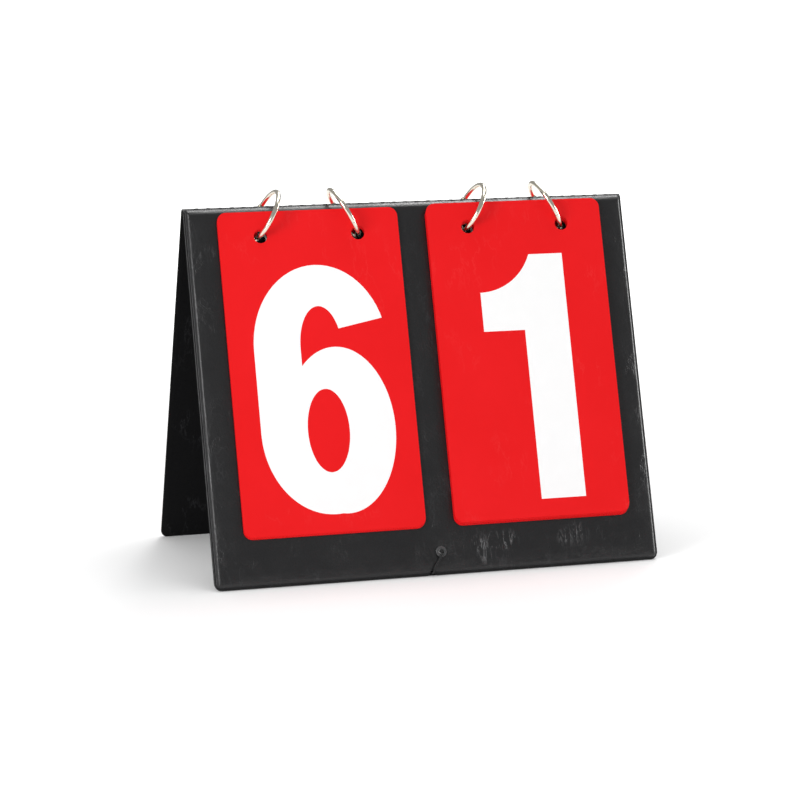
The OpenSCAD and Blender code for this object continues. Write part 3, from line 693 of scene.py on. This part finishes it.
@dataclass
class PaddedPanel:
    """One panel: a stiff board with foam between two welded skins."""

    side: Side
    tent: Tent
    finishes: Finishes
    creases: Sequence[Crease] = ()
    board_in: float = 0.8
    weld_gap: float = 0.02
    skin_t: float = 0.5
    panel_out: float = 3.8
    edge_r: float = 2.6
    rim: float = 1.0
    rim_top: float = 1.1
    pad_top: float = 1.2
    ring_places: Sequence[float] = (-68.96, -23.04, 24.24, 70.16)
    ring_hole_down: float = 15.0
    card_spans: Sequence[tuple[float, float]] = ((-86.0, -6.0), (7.2, 87.2))
    card_end: float = 146.5
    swell: float = 0.34
    pull_band: float = 2.1
    pull: float = 0.82
    notch_w: float = 1.1
    ring_hole_r: float = 4.4
    eyelet_down: float = 154.0
    eyelet_hole_r: float = 1.6
    notch_x: float = -4.0

    def _corner(self, x: float, down: float) -> tuple[float, float]:
        """Rounds the lower corners of the outline.

        Args:
            x: Place along the ridge on a square outline.
            down: Place down the slope on a square outline.

        Returns:
            The same place on the outline with round lower corners.
        """
        r = self.edge_r + self.rim
        cx, cd = self.tent.panel_w / 2 - r, self.tent.panel_h - r
        if abs(x) <= cx or down <= cd:
            return x, down
        u, v = (abs(x) - cx) / r, (down - cd) / r
        sign = math.copysign(1.0, x)
        return sign * (cx + r * u * math.sqrt(1 - v * v / 2)), cd + r * v * math.sqrt(1 - u * u / 2)

    def _edge_distance(self, x: float, down: float) -> float:
        """Gives how far a place lies inside the side and lower edges, rounded at the corners."""
        dx = max(self.tent.panel_w / 2 - abs(x), 1e-6)
        dz = max(self.tent.panel_h - down, 1e-6)
        return (dx**-4 + dz**-4) ** -0.25

    def _roll(self, distance: float, start: float) -> float:
        """Gives the height of the rolled edge at a distance, which starts rising at start."""
        inside = self.edge_r - min(max(distance - start, 0.0), self.edge_r)
        return math.sqrt(max(self.edge_r**2 - inside**2, 0.0))

    def _cover_out(self, x: float, down: float) -> float:
        """Gives how far the outer skin's surface stands out from the hinge plane.

        Args:
            x: Place along the ridge.
            down: Place down the slope.

        Returns:
            The distance in millimetres.
        """
        flange = self.board_in + self.weld_gap + self.skin_t
        inside = self._edge_distance(x, down)
        wobble = 0.16 * noise.noise(Vector((x * 0.06, down * 0.06, 3.1)))
        side = self._roll(inside + wobble * smooth_step(inside, 1.0, 1.8), self.rim)
        top = self._roll(down, self.pad_top)
        if side <= 0 or top <= 0:
            rise = 0.0
        else:
            rise = (side**-6 + top**-6) ** (-1 / 6)
        flat = self.panel_out - self.edge_r
        out = max(flange, flat + rise)
        if inside < 0.9:
            out += 0.13 * (1 - ((inside - 0.45) / 0.45) ** 2) - 0.05
        if inside < 1.3:
            out -= 0.15 * bell(inside - 0.93, 0.13)
        if inside < 0.25:
            out -= 0.1 * (1 - inside / 0.25) ** 2
        out -= 0.16 * (1 - smooth_step(inside, 3.0, 9.5)) * smooth_step(inside, 1.4, 3.0)
        return out + self._swell(x, down, inside)

    def _swell(self, x: float, down: float, inside: float) -> float:
        """Gives how far the foam lifts the skin beyond the edges of the cards.

        Args:
            x: Place along the ridge.
            down: Place down the slope.
            inside: How far the place lies inside the panel's edges.

        Returns:
            The lift outward.
        """
        beyond = down - self.card_end
        away = min(max(low - x, x - high, beyond) for low, high in self.card_spans)
        uneven = 0.9 + 0.55 * noise.noise(Vector((x * 0.21, down * 0.21, 21.0)))
        shape = smooth_step(away, 0.8, 5.0) * smooth_step(inside, 2.2, 6.0) * smooth_step(down, 3.0, 8.0)
        return self.swell * uneven * shape

    def _puckers(self, x: float, down: float) -> float:
        """Gives the small unevenness of the stretched skin, strongest along the rolled edges."""
        inside = min(self._edge_distance(x, down), 40.0)
        edge = smooth_step(inside, 1.2, 2.6) * (1 - smooth_step(inside, 5.0, 13.0))
        slow = noise.noise(Vector((x * 0.11, down * 0.11, 7.7)))
        fine = noise.noise(Vector((x * 0.55 + down * 0.18, down * 0.5 - x * 0.12, 1.3)))
        ridged = 1 - abs(noise.noise(Vector((x * 0.33 - down * 0.2, down * 0.22, 9.2)))) * 4
        calm = 0.035 * slow
        return calm + edge * (0.05 * fine + 0.035 * max(ridged, 0.0) ** 2)

    def _pressed(self, x: float, down: float) -> float:
        """Gives how far the skin is pressed in round the holes and under the cord."""
        depth = 0.0
        for place in self.ring_places:
            away = math.hypot(x - place, down - self.ring_hole_down)
            if away < 9:
                depth += 0.14 * bell(max(away - self.ring_hole_r, 0.0), 0.9)
        away = math.hypot(x, down - self.eyelet_down)
        if away < 9:
            depth += 0.16 * bell(max(away - 2.4, 0.0), 0.9)
        if down > self.eyelet_down:
            share = smooth_step(down, self.eyelet_down, self.tent.panel_h)
            depth += 0.12 * smooth_step(down, 156.5, 161.5) * bell(x - self.notch_x * share, 0.9)
        return depth

    def _surface(self, x: float, down: float) -> Vector:
        """Gives the outer skin's place for a place on the square outline."""
        out = self._cover_out(x, down)
        inside = self._edge_distance(x, down)
        if inside > 1.15 and down > 2.2:
            calm = smooth_step(inside, 1.15, 2.2) * smooth_step(down, 2.2, 5.0)
            out += calm * self._puckers(x, down)
            out += calm * sum(crease.lift(x, down) for crease in self.creases)
        out -= self._pressed(x, down) * smooth_step(inside, 0.8, 2.4)
        dent = bell(x - self.notch_x, self.notch_w)
        out = max(out - 0.5 * dent * smooth_step(down, 161.4, 163.2) * (out > 1.9), self.board_in + 0.32)
        cx, cd = self._corner(x, down)
        return Vector((cx, out, -self._pulled(cd, dent)))

    def _pulled(self, down: float, dent: float) -> float:
        """Draws the lower edge up where the cord goes round it.

        Args:
            down: Place down the slope.
            dent: How near the cord is, from 0 to 1.

        Returns:
            The place to use instead.
        """
        start = self.tent.panel_h - self.pull_band
        return min(down, start) + max(down - start, 0.0) * (1 - self.pull * dent)

    def _lining_surface(self, x: float, down: float) -> Vector:
        """Gives the inner skin's place, which faces the inside of the tent."""
        inside = self._edge_distance(x, down)
        out = self.tent.inner_gap
        out += 0.1 * bell(inside - 0.92, 0.16) if inside < 2 else 0.0
        out += 0.14 * (1 - min(inside / 0.35, 1.0)) ** 2
        slow = noise.noise(Vector((x * 0.05, down * 0.05, 11.0)))
        out += 0.05 * (1 + slow) * smooth_step(inside, 1.4, 4.0)
        cx, cd = self._corner(x, down)
        return Vector((cx, out, -self._pulled(cd, bell(x - self.notch_x, self.notch_w))))

    def _skin(self, name: str, xs: Sequence[float], downs: Sequence[float],
              place: Callable[[float, float], Vector], outward: bool) -> bpy.types.Object:
        """Makes one skin from a grid that is laid over its surface.

        Args:
            name: The piece's name.
            xs: The grid's places along the ridge.
            downs: The grid's places down the slope.
            place: Where a grid point goes in the panel's frame.
            outward: Whether the skin's good face looks out of the tent.

        Returns:
            The skin with its thickness and holes.
        """
        bm = bmesh.new()
        bmesh.ops.create_grid(bm, x_segments=len(xs) - 1, y_segments=len(downs) - 1, size=0.5)
        to_row = self.tent.panel_frame(self.side)
        for vert in bm.verts:
            i = round((vert.co.x + 0.5) * (len(xs) - 1))
            j = round((vert.co.y + 0.5) * (len(downs) - 1))
            vert.co = to_row @ place(xs[i], downs[j])
        bm.normal_update()
        facing = to_row.to_3x3() @ Vector((0, 1 if outward else -1, 0))
        total = sum((face.normal * face.calc_area() for face in bm.faces), Vector())
        if total.dot(facing) < 0:
            bmesh.ops.reverse_faces(bm, faces=bm.faces)
        piece = finished_object(name, mesh_from(bm, name))
        wall = piece.modifiers.new("wall", "SOLIDIFY")
        wall.thickness = self.skin_t * MM * 0.96
        wall.offset = -1.0
        cutter = self._hole_cutter()
        cut = piece.modifiers.new("holes", "BOOLEAN")
        cut.operation = "DIFFERENCE"
        cut.solver = "EXACT"
        cut.object = cutter
        settle_modifiers(piece)
        bpy.data.objects.remove(cutter)
        return piece

    def _hole_cutter(self) -> bpy.types.Object:
        """Makes the pins that cut the ring holes and the eyelet hole."""
        bm = bmesh.new()
        to_row = self.tent.panel_frame(self.side)
        turn = Matrix.Rotation(math.pi / 2, 4, "X")
        holes = [(x, self.ring_hole_down, self.ring_hole_r) for x in self.ring_places]
        holes.append((0.0, self.eyelet_down, self.eyelet_hole_r))
        for x, down, radius in holes:
            bmesh.ops.create_cone(
                bm, cap_ends=True, segments=48, radius1=radius, radius2=radius, depth=14,
                matrix=to_row @ Matrix.Translation((x, 2, -down)) @ turn,
            )
        bmesh.ops.recalc_face_normals(bm, faces=bm.faces)
        return finished_object("hole_pins", mesh_from(bm, "hole_pins"), smooth=False)

    def build(self) -> list[bpy.types.Object]:
        """Makes both skins and dresses the board, the foam and the eyelet.

        Returns:
            The new pieces.
        """
        prefix, body = self.side.value, f"{self.side.value}_panel"
        xs = stations(((-100, 0), (-98.7, 0.22), (-95.6, 0.4), (-86, 0.75), (-14, 1.1), (38, 0.8),
                       (52, 1.1), (95.6, 0.75), (98.7, 0.4), (100, 0.22)))
        downs = stations(((self.rim_top, 0), (4.2, 0.3), (28, 1.1), (142, 1.6), (160.2, 0.75),
                          (162.7, 0.35), (self.tent.panel_h, 0.22)))
        cover = self._skin(f"{prefix}_padded_cover", xs, downs, self._surface, True)
        coarse = stations(((-100, 0), (-98, 0.3), (-94, 1), (94, 4), (98, 1), (100, 0.3)))
        low = stations(((self.rim_top, 0), (152, 4), (160, 0.9), (162, 0.5), (self.tent.panel_h, 0.3)))
        lining = self._skin(f"{prefix}_lining_sheet", coarse, low, self._lining_surface, False)
        self.finishes.dress(cover, Slot.LEATHERETTE)
        self.finishes.dress(lining, Slot.LINING)
        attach(cover, body)
        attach(lining, body)
        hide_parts(f"{prefix}_outer_skin")
        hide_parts(f"{prefix}_inner_skin")
        for node, slot in (("board", Slot.BOARD), ("foam", Slot.FOAM), ("eyelet", Slot.EYELET)):
            self.finishes.dress(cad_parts[f"{prefix}_{node}"], slot)
        return [cover, lining]


@dataclass
class Ridge:
    """The welded strip that joins the panels, with its row of raised marks."""

    tent: Tent
    finishes: Finishes
    panel: PaddedPanel
    mark_pitch: float = 5.2
    mark_len: float = 1.4
    touch_turn: float = math.radians(40)

    def _mark(self, x: float) -> float:
        """Gives how far the marks lift the rib at a place, from 0 to 1."""
        count = math.floor((self.tent.panel_w - 6) / self.mark_pitch / 2)
        nearest = max(-count, min(count, round(x / self.mark_pitch))) * self.mark_pitch
        return 1 - smooth_step(abs(x - nearest), self.mark_len * 0.35, self.mark_len * 0.75)

    def _section(self, x: float) -> list[tuple[float, float]]:
        """Gives the rear half of the strip's section, from the crest down, as Y and Z over the hinge line.

        Args:
            x: Place along the ridge.

        Returns:
            The points in order.
        """
        panel, turn = self.panel, self.tent.half_open
        end = self.tent.panel_w / 2 - abs(x)
        rolled = panel._roll(end, panel.rim)
        full = panel.edge_r * math.sin(self.touch_turn)
        down = panel.pad_top + panel.edge_r * (1 - math.cos(self.touch_turn))
        out = panel.panel_out - panel.edge_r + max(min(rolled, full), 0.12)
        edge_y = down * math.sin(turn) + out * math.cos(turn)
        edge_z = -down * math.cos(turn) + out * math.sin(turn)
        mark = self._mark(x)
        sag = 0.05 * noise.noise(Vector((x * 0.15, 2.0, 5.0)))
        tip = 0.44 + 0.12 * mark
        half = 0.16 + 0.06 * mark
        foot = (0.6, 0.04 + sag)
        points = [(0.0, tip), (half, tip - 0.03), (half + 0.12, tip - 0.16), (half + 0.16, 0.12), foot]
        for i in range(1, 9):
            share = i / 8
            bulge = 0.16 * math.sin(share * math.pi)
            across = foot[0] + (edge_y - foot[0]) * share
            points.append((across, foot[1] + (edge_z - foot[1]) * share + bulge))
        points.append((edge_y + 0.16, edge_z - 0.16))
        return points

    def build(self) -> bpy.types.Object:
        """Makes the strip over the hinge line between the panels.

        Returns:
            The strip.
        """
        half = self.tent.panel_w / 2
        xs = stations(((-half, 0), (half, 0.32)))
        count = len(self._section(0.0))
        bm = bmesh.new()
        bmesh.ops.create_grid(bm, x_segments=len(xs) - 1, y_segments=2 * count - 2, size=0.5)
        sections = [self._section(x) for x in xs]
        for vert in bm.verts:
            i = round((vert.co.x + 0.5) * (len(xs) - 1))
            j = round((vert.co.y + 0.5) * (2 * count - 2)) - (count - 1)
            y, z = sections[i][abs(j)]
            vert.co = Vector((xs[i], math.copysign(y, j) if j else 0.0, self.tent.hinge_z + z)) * MM
        bm.normal_update()
        if sum(face.normal.z for face in bm.faces) < 0:
            bmesh.ops.reverse_faces(bm, faces=bm.faces)
        strip = finished_object("ridge_strip", mesh_from(bm, "ridge_strip"))
        wall = strip.modifiers.new("wall", "SOLIDIFY")
        wall.thickness = 0.1 * MM
        wall.offset = -1.0
        settle_modifiers(strip)
        self.finishes.dress(strip, Slot.LEATHERETTE)
        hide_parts("ridge_fold")
        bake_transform(strip)
        return strip


# Cord and knots


def smooth_path(points: Sequence[Vector], steps: int) -> list[Vector]:
    """Runs a smooth curve through points.

    Args:
        points: The points that the curve goes through.
        steps: How many pieces each stretch is divided into.

    Returns:
        The points of the curve.
    """
    path = []
    for i in range(len(points) - 1):
        p0, p1 = points[max(i - 1, 0)], points[i]
        p2, p3 = points[i + 1], points[min(i + 2, len(points) - 1)]
        for k in range(steps):
            t = k / steps
            path.append(0.5 * (2 * p1 + (p2 - p0) * t + (2 * p0 - 5 * p1 + 4 * p2 - p3) * t * t
                               + (3 * p1 - p0 - 3 * p2 + p3) * t**3))
    return path + [points[-1]]


def sweep_strands(path: Sequence[Vector], radius: float, lobes: int, turn_per_length: float,
                  closed: bool = False) -> bmesh.types.BMesh:
    """Sweeps a lobed ring along a path, so that it looks like twisted strands.

    Args:
        path: The points of the path.
        radius: The outer radius.
        lobes: The number of strands, or 0 for a plain round tube.
        turn_per_length: The twist in radians for each metre.
        closed: Whether the path runs back into its start.

    Returns:
        The tube.
    """
    bm = bmesh.new()
    around = 6 * lobes if lobes else 12
    ring = bmesh.ops.create_circle(bm, cap_ends=False, segments=around, radius=radius)["verts"]
    for vert in ring:
        angle = math.atan2(vert.co.y, vert.co.x)
        vert.co *= 1 - (0.14 * (1 - math.cos(lobes * angle)) / 2 if lobes else 0.0) * 1.6
    last = len(path) - 1
    tangents = [(path[min(i + 1, last)] - path[max(i - 1, 0)]).normalized() for i in range(len(path))]
    turn = Vector((0, 0, 1)).rotation_difference(tangents[0])
    poses, done = [], 0.0
    for i, point in enumerate(path):
        if i:
            turn = tangents[i - 1].rotation_difference(tangents[i]) @ turn
            done += (point - path[i - 1]).length
        twist = Quaternion(tangents[i], done * turn_per_length)
        poses.append(Matrix.Translation(point) @ (twist @ turn).to_matrix().to_4x4())
    bmesh.ops.transform(bm, matrix=poses[0], verts=ring)
    edges = list(bm.edges)
    for before, after in zip(poses, poses[1:]):
        grown = bmesh.ops.extrude_edge_only(bm, edges=edges)["geom"]
        verts = [item for item in grown if isinstance(item, bmesh.types.BMVert)]
        edges = [item for item in grown if isinstance(item, bmesh.types.BMEdge)]
        bmesh.ops.transform(bm, matrix=after @ before.inverted(), verts=verts)
    if closed:
        bmesh.ops.remove_doubles(bm, verts=bm.verts, dist=radius * 0.05)
    bmesh.ops.holes_fill(bm, edges=[edge for edge in bm.edges if edge.is_boundary], sides=0)
    bmesh.ops.recalc_face_normals(bm, faces=bm.faces)
    return bm


@dataclass
class Tether:
    """The cord that keeps the panels from sliding apart, with a knot at each end."""

    tent: Tent
    finishes: Finishes
    cord_r: float = 0.5
    panel_out: float = 3.8
    knot_out: float = 4.3
    eyelet_down: float = 154.0
    drop: float = 7.5
    notch_x: float = -4.0
    span_margin: float = 6.0
    span_ends: float = 7.5
    knot_size: float = 0.24
    knot_depth: float = 0.32
    strand_r: float = 0.38
    over_route: Sequence[Point] = (
        (0, 1.3, 0.12), (0.07, 1.3, 0.2), (0.2, 1.3, 0.35), (0.5, 1, 0.59), (0.78, 0.8, 0.8), (0.95, 0.6, 1),
    )
    notch_route: Sequence[tuple[float, float]] = ((0.2, 1.5), (1.4, 1.1), (2.8, 1.2), (4.4, 1.7))

    def _end(self, side: Side) -> list[Vector]:
        """Gives the cord's way from a panel's knot over the outside and through the notch."""
        over = []
        for share, out, fall in self.over_route:
            down = self.eyelet_down + self.drop * fall
            over.append(self.tent.on_slope(self.notch_x * share, self.panel_out + out, down, side))
        low = [self.tent.on_slope(self.notch_x, self.panel_out - depth, self.tent.panel_h - up, side)
               for depth, up in self.notch_route]
        return over + low

    def route(self) -> list[Vector]:
        """Gives the cord's way, from the front knot to the rear one."""
        half = self.tent.panel_h * math.sin(self.tent.half_open) - self.span_margin
        shares = [(i - self.span_ends) / self.span_ends for i in range(round(2 * self.span_ends) + 1)]
        span = [Vector((self.notch_x, share * half, 1.2 + 0.3 * abs(share))) * MM for share in shares]
        return self._end(Side.FRONT) + span + self._end(Side.REAR)[::-1]

    def build(self) -> list[bpy.types.Object]:
        """Makes the cord and its knots.

        Returns:
            The new pieces.
        """
        path = smooth_path(self.route(), 6)
        bm = sweep_strands(path, self.cord_r * MM, 3, 2 * math.pi / (3.2 * MM))
        cord = finished_object("tether_twisted_cord", mesh_from(bm, "tether_twisted_cord"))
        self.finishes.dress(cord, Slot.CORD)
        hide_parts("tether_cord")
        knots = [self._knot(side) for side in Side]
        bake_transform(cord)
        return [cord, *knots]

    def _knot(self, side: Side) -> bpy.types.Object:
        """Makes the overhand knot in one eyelet."""
        loop = []
        for i in range(97):
            t = 2 * math.pi * i / 96
            flat = (math.sin(t) + 2 * math.sin(2 * t), math.cos(t) - 2 * math.cos(2 * t))
            deep = -self.knot_depth * math.sin(3 * t)
            loop.append(Vector((flat[0] * self.knot_size, flat[1] * self.knot_size, deep)))
        turn = Matrix.Rotation(math.pi / 2, 4, "X")
        middle = Matrix.Translation((0, self.knot_out, -self.eyelet_down))
        to_row = self.tent.panel_frame(side) @ middle @ turn
        turns = 2 * math.pi / (2.4 * MM)
        bm = sweep_strands([to_row @ point for point in loop], self.strand_r * MM, 3, turns, True)
        name = f"{side.value}_overhand_knot"
        knot = finished_object(name, mesh_from(bm, name))
        self.finishes.dress(knot, Slot.CORD)
        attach(knot, f"{side.value}_panel")
        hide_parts(f"{side.value}_knot")
        return knot


# Cards and rings


@dataclass
class CardPile:
    """The cards of one pile with their printed numerals."""

    name: str
    tent: Tent
    finishes: Finishes
    shown: int
    print_d: float = 0.04
    ink_gap: float = 0.004

    def build(self) -> int:
        """Dresses the cards and prints both their faces.

        Returns:
            The number of prints.
        """
        made = 0
        for number in range(10):
            card = f"{self.name}_card_{number}"
            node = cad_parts[card]
            self.finishes.dress(node, Slot.CARD)
            side = Side.FRONT if number >= self.shown else Side.REAR
            made += self._print(node, card, side)
        return made

    def _print(self, node: bpy.types.Object, card: str, side: Side) -> int:
        """Fills the sunk numerals of a card with ink.

        Args:
            node: The card.
            card: Its name.
            side: The panel that it hangs on.

        Returns:
            The number of prints made.
        """
        to_row = self.tent.panel_frame(side)
        to_panel = to_row.inverted()
        outs = [(to_panel @ vert.co).y for vert in node.data.vertices]
        low, high = min(outs), max(outs)
        floors = (("inner", low + self.print_d, low), ("outer", high - self.print_d, high))
        for face, floor, surface in floors:
            bm = bmesh.new()
            bm.from_mesh(node.data)
            bmesh.ops.remove_doubles(bm, verts=bm.verts, dist=1e-6)
            bmesh.ops.transform(bm, matrix=to_panel, verts=bm.verts)
            rest = [f for f in bm.faces if any(abs(v.co.y - floor) > 2 * self.ink_gap for v in f.verts)]
            bmesh.ops.delete(bm, geom=rest, context="FACES")
            up = Vector((0, surface - floor, 0)).normalized()
            bmesh.ops.translate(bm, verts=bm.verts, vec=up * self.ink_gap)
            grown = bmesh.ops.extrude_face_region(bm, geom=list(bm.faces))["geom"]
            verts = [item for item in grown if isinstance(item, bmesh.types.BMVert)]
            bmesh.ops.translate(bm, verts=verts, vec=up * (self.print_d - 2 * self.ink_gap))
            bmesh.ops.recalc_face_normals(bm, faces=bm.faces)
            bmesh.ops.transform(bm, matrix=to_row, verts=bm.verts)
            if to_row.determinant() < 0:
                bmesh.ops.reverse_faces(bm, faces=bm.faces)
            name = f"{card}_{face}_print"
            piece = finished_object(name, mesh_from(bm, name), smooth=False)
            piece.data.materials.append(self.finishes.print_ink)
            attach(piece, card)
        return len(floors)


@dataclass
class WireRings:
    """The four hinged rings."""

    finishes: Finishes
    names: Sequence[str] = ("left_outer", "left_inner", "right_inner", "right_outer")

    def build(self) -> None:
        """Dresses the rings' halves, gates and rivets."""
        for name in self.names:
            for part in ("half", "gate", "rivet"):
                self.finishes.dress(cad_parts[f"{name}_ring_{part}"], Slot.WIRE)


# Studio


@dataclass
class Studio:
    """The floor, the lights and the camera."""

    camera_place: Point = (-0.37248, -1.21032, 0.30336)
    azimuth: float = math.radians(17.001)
    elevation: float = math.radians(10.567)
    focal_pixels: float = 2907.8
    image_width: float = 800.0
    fill: float = 0.6
    mirrored: float = 0.35
    floor_half: float = 20.0
    glow_near: float = 0.03
    glow_far: float = 0.62

    def build(self) -> None:
        """Makes the studio."""
        self._camera()
        self._floor()
        self._world()
        self._lamp("left_lamp", (-1.3, -0.8, 0.55), (0.0, 0.0, 0.08), 0.6, 12.0)
        self._lamp("right_lamp", (1.5, 0.08, 0.32), (0.0, 0.0, 0.08), 0.55, 10.0)
        self._lamp("back_lamp", (0.5, 1.05, 1.25), (0.0, 0.0, 0.15), 0.4, 5.0)
        self._lamp("top_lamp", (0.3, 0.3, 1.45), (0.0, 0.0, 0.1), 1.1, 9.0)

    def _camera(self) -> None:
        """Puts the camera where the photograph was taken from."""
        data = bpy.data.cameras.new("photo_camera")
        data.sensor_width = 36.0
        data.lens = data.sensor_width * self.focal_pixels / self.image_width
        data.clip_start, data.clip_end = 0.01, 60.0
        camera = bpy.data.objects.new("photo_camera", data)
        bpy.context.scene.collection.objects.link(camera)
        camera.location = self.camera_place
        level = math.cos(self.elevation)
        ahead, right = math.cos(self.azimuth) * level, math.sin(self.azimuth) * level
        look = Vector((right, ahead, -math.sin(self.elevation)))
        camera.rotation_euler = look.to_track_quat("-Z", "Y").to_euler()
        bpy.context.scene.camera = camera

    def _floor(self) -> None:
        """Lays the pale floor, a little brighter away from the object, where the lamps fade."""
        bm = bmesh.new()
        bmesh.ops.create_grid(bm, x_segments=1, y_segments=1, size=self.floor_half)
        floor = finished_object("studio_floor", mesh_from(bm, "studio_floor"))
        material = bpy.data.materials.new("studio_white")
        material.use_nodes = True
        sheet = NodeSheet(material.node_tree)
        material.node_tree.nodes.clear()
        output = sheet.add("OutputMaterial")
        matt = sheet.add("BsdfDiffuse", {"Color": (0.9, 0.9, 0.9, 1.0)})
        place = sheet.add("TexCoord").outputs["Object"]
        away = sheet.add("VectorMath", {0: place}, operation="LENGTH").outputs["Value"]
        strength = sheet.ramp(away, 0.25, 1.0, self.glow_near, self.glow_far)
        glow = sheet.add("Emission", {"Color": (1.0, 1.0, 1.0, 1.0), "Strength": strength})
        path = sheet.add("LightPath")
        both = sheet.add("AddShader", {0: matt.outputs[0], 1: glow.outputs[0]})
        seen = path.outputs["Is Camera Ray"]
        choice = sheet.add("MixShader", {0: seen, 1: matt.outputs[0], 2: both.outputs[0]})
        sheet.tree.links.new(choice.outputs[0], output.inputs["Surface"])
        floor.data.materials.append(material)

    def _world(self) -> None:
        """Lights the whole scene softly, with white behind it."""
        world = bpy.data.worlds.new("studio_world")
        bpy.context.scene.world = world
        world.use_nodes = True
        sheet = NodeSheet(world.node_tree)
        world.node_tree.nodes.clear()
        path = sheet.add("LightPath")
        seen = sheet.math("MULTIPLY", path.outputs["Is Camera Ray"], 1.0 - self.fill)
        mirrored = sheet.math("MULTIPLY", path.outputs["Is Glossy Ray"], self.fill - self.mirrored)
        strength = sheet.math("SUBTRACT", sheet.math("ADD", seen, self.fill), mirrored)
        back = sheet.add("Background", {"Color": (1.0, 1.0, 1.0, 1.0), "Strength": strength})
        output = sheet.add("OutputWorld")
        sheet.tree.links.new(back.outputs[0], output.inputs["Surface"])

    @staticmethod
    def _lamp(name: str, place: Point, aim: Point, size: float, power: float) -> None:
        """Adds one square soft lamp.

        Args:
            name: The lamp's name.
            place: Where it hangs.
            aim: The point that it faces.
            size: The length of its side.
            power: Its power in watts.
        """
        data = bpy.data.lights.new(name, "AREA")
        data.shape = "SQUARE"
        data.size = size
        data.energy = power
        lamp = bpy.data.objects.new(name, data)
        lamp.location = place
        lamp.rotation_euler = (Vector(aim) - Vector(place)).to_track_quat("-Z", "Y").to_euler()
        bpy.context.scene.collection.objects.link(lamp)


def main() -> None:
    """Builds the studio and every sub-assembly, and reports each."""
    logging.basicConfig(level=logging.INFO, format="%(message)s")
    bpy.context.scene.view_settings.view_transform = "Standard"
    tent = Tent()
    Studio().build()
    finishes = Finishes()
    tether = Tether(tent, finishes)
    log.info("tether: %d pieces", len(tether.build()))
    front = PaddedPanel(Side.FRONT, tent, finishes, FRONT_CREASES)
    rear = PaddedPanel(Side.REAR, tent, finishes, REAR_CREASES)
    for panel in (front, rear):
        for piece in panel.build():
            log.info("%s: %d faces", piece.name, len(piece.data.polygons))
    log.info("%s: welded over the hinge line", Ridge(tent, finishes, front).build().name)
    for pile in (CardPile("left", tent, finishes, 6), CardPile("right", tent, finishes, 1)):
        log.info("%s pile: %d prints", pile.name, pile.build())
    WireRings(finishes).build()
    log.info("rings dressed")


if __name__ == "__main__":
    main()
